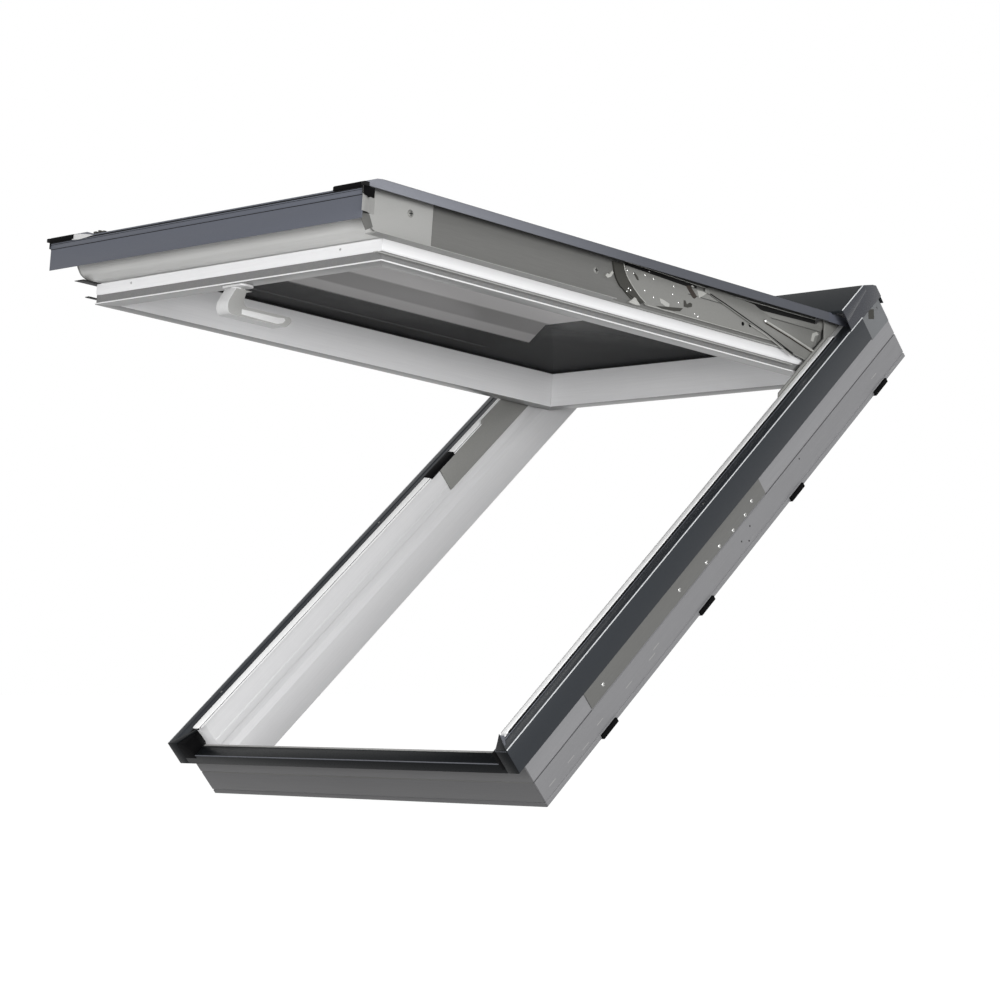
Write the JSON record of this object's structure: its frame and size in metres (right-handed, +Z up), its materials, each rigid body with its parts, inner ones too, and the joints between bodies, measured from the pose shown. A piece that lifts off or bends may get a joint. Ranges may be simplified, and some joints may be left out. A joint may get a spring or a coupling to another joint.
{
  "type": "roof window",
  "caption": "White plastic roof window in a sloping frame, its glazed sash swung open from the head on side arms and struts, with dark metal covers outside and a handle at the foot.",
  "frame": {"origin": "middle of the sill's room-side face, where the window lies on the roof", "axes": "+X to the right seen from outside at the foot, +Y into the roof and level, +Z up; the frame rises along +Y at 40 degrees"},
  "size_m": [0.796, 1.2835, 0.9153],
  "materials": {
    "white_plastic": "smooth white window plastic, satin gloss",
    "dark_metal": "dark grey painted aluminium sheet, semi-gloss",
    "side_metal": "mid-grey coated metal, satin",
    "fitting_metal": "zinc-plated steel fittings, satin",
    "grey_plastic": "light grey plastic, satin",
    "black_plastic": "black plastic, satin",
    "light_seal": "light grey sealing strip",
    "dark_seal": "dark grey rubber seal",
    "glazing": "clear insulating glass unit, polished",
    "white_handle": "white powder coating, smooth"
  },
  "bodies": {
    "window": {"frame_sill": "white_plastic", "frame_head": "white_plastic", "frame_left_jamb": "white_plastic", "frame_right_jamb": "white_plastic", "sill_cover": "dark_metal", "sill_seal": "light_seal", "left_jamb_cover": "dark_metal", "right_jamb_cover": "dark_metal", "jamb_seals": "light_seal", "cover_ends": "dark_metal", "corner_plugs": "black_plastic", "head_hood": "dark_metal", "hood_ends": "dark_metal", "edge_clips": "black_plastic", "side_plates": "side_metal", "head_plates": "side_metal", "sash_bottom_rail": "white_plastic", "sash_top_rail": "white_plastic", "sash_left_stile": "white_plastic", "sash_right_stile": "white_plastic", "glazing_unit": "glazing", "glazing_end_seals": "dark_seal", "glazing_side_seals": "dark_seal", "sash_foot_profile": "grey_plastic", "foot_ends": "grey_plastic", "left_sash_plate": "side_metal", "right_sash_plate": "side_metal", "side_lip_seals": "dark_seal", "sash_skirt": "dark_metal", "left_side_cover": "dark_metal", "right_side_cover": "dark_metal", "cover_caps": "black_plastic", "corner_blocks": "black_plastic", "sash_top_cover": "dark_metal", "left_hinge_arm": "fitting_metal", "right_hinge_arm": "fitting_metal", "hinge_brackets": "fitting_metal", "pivot_plates": "fitting_metal", "pivot_guides": "fitting_metal", "left_strut": "fitting_metal", "right_strut": "fitting_metal", "handle_plate": "white_handle"},
    "handle": {"handle_lever": "white_handle"}
  },
  "joints": [
    {"name": "handle_turn", "type": "hinge", "parent": "window", "child": "handle", "pos_m": [0, -0.30525, 0.78248], "axis": [0, 0.0872, 0.9962], "range_deg": [0, 90]}
  ]
}
